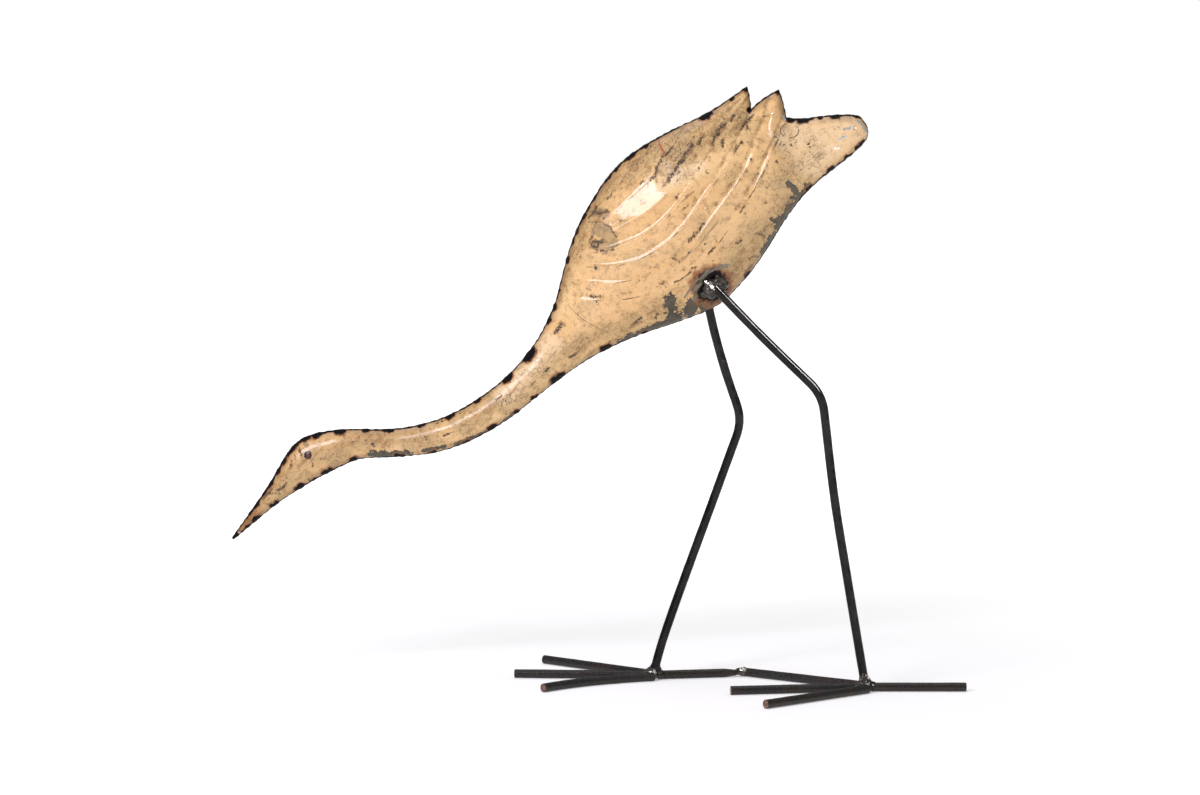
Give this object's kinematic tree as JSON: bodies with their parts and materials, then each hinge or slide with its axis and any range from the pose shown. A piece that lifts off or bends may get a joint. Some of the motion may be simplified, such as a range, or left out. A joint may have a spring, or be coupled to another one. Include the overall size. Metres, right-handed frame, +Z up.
{
  "type": "metal heron garden statue",
  "caption": "Standing heron garden figure in a feeding pose, with head down: welded sheet-steel body with a feathered wing, bent bar legs and splayed bar toes.",
  "frame": {"origin": "on the ground, at the centre of the overall box", "axes": "+Z up, the beak points along -X, and the bird's left side faces -Y"},
  "size_m": [0.6612, 0.2324, 0.5413],
  "materials": {
    "body_enamel": "glossy cream and tan enamel on hammered sheet steel, scorched dark at the welds, chipped to grey steel in places",
    "leg_lacquer": "glossy near-black lacquer on round bar",
    "toe_steel": "thin dark lacquer worn to brown-grey steel with light rust",
    "weld_metal": "lumpy dark weld with bright and copper-coloured spots"
  },
  "bodies": {
    "root": {"left_body_half": "body_enamel", "right_body_half": "body_enamel", "left_leg": "leg_lacquer", "right_leg": "leg_lacquer", "left_outer_toe": "toe_steel", "left_middle_toe": "toe_steel", "left_inner_toe": "toe_steel", "left_back_toe": "toe_steel", "right_outer_toe": "toe_steel", "right_middle_toe": "toe_steel", "right_inner_toe": "toe_steel", "right_back_toe": "toe_steel", "left_hip_weld": "weld_metal", "left_ankle_weld": "weld_metal", "right_hip_weld": "weld_metal", "right_ankle_weld": "weld_metal", "toe_tie_weld": "weld_metal"}
  },
  "joints": []
}
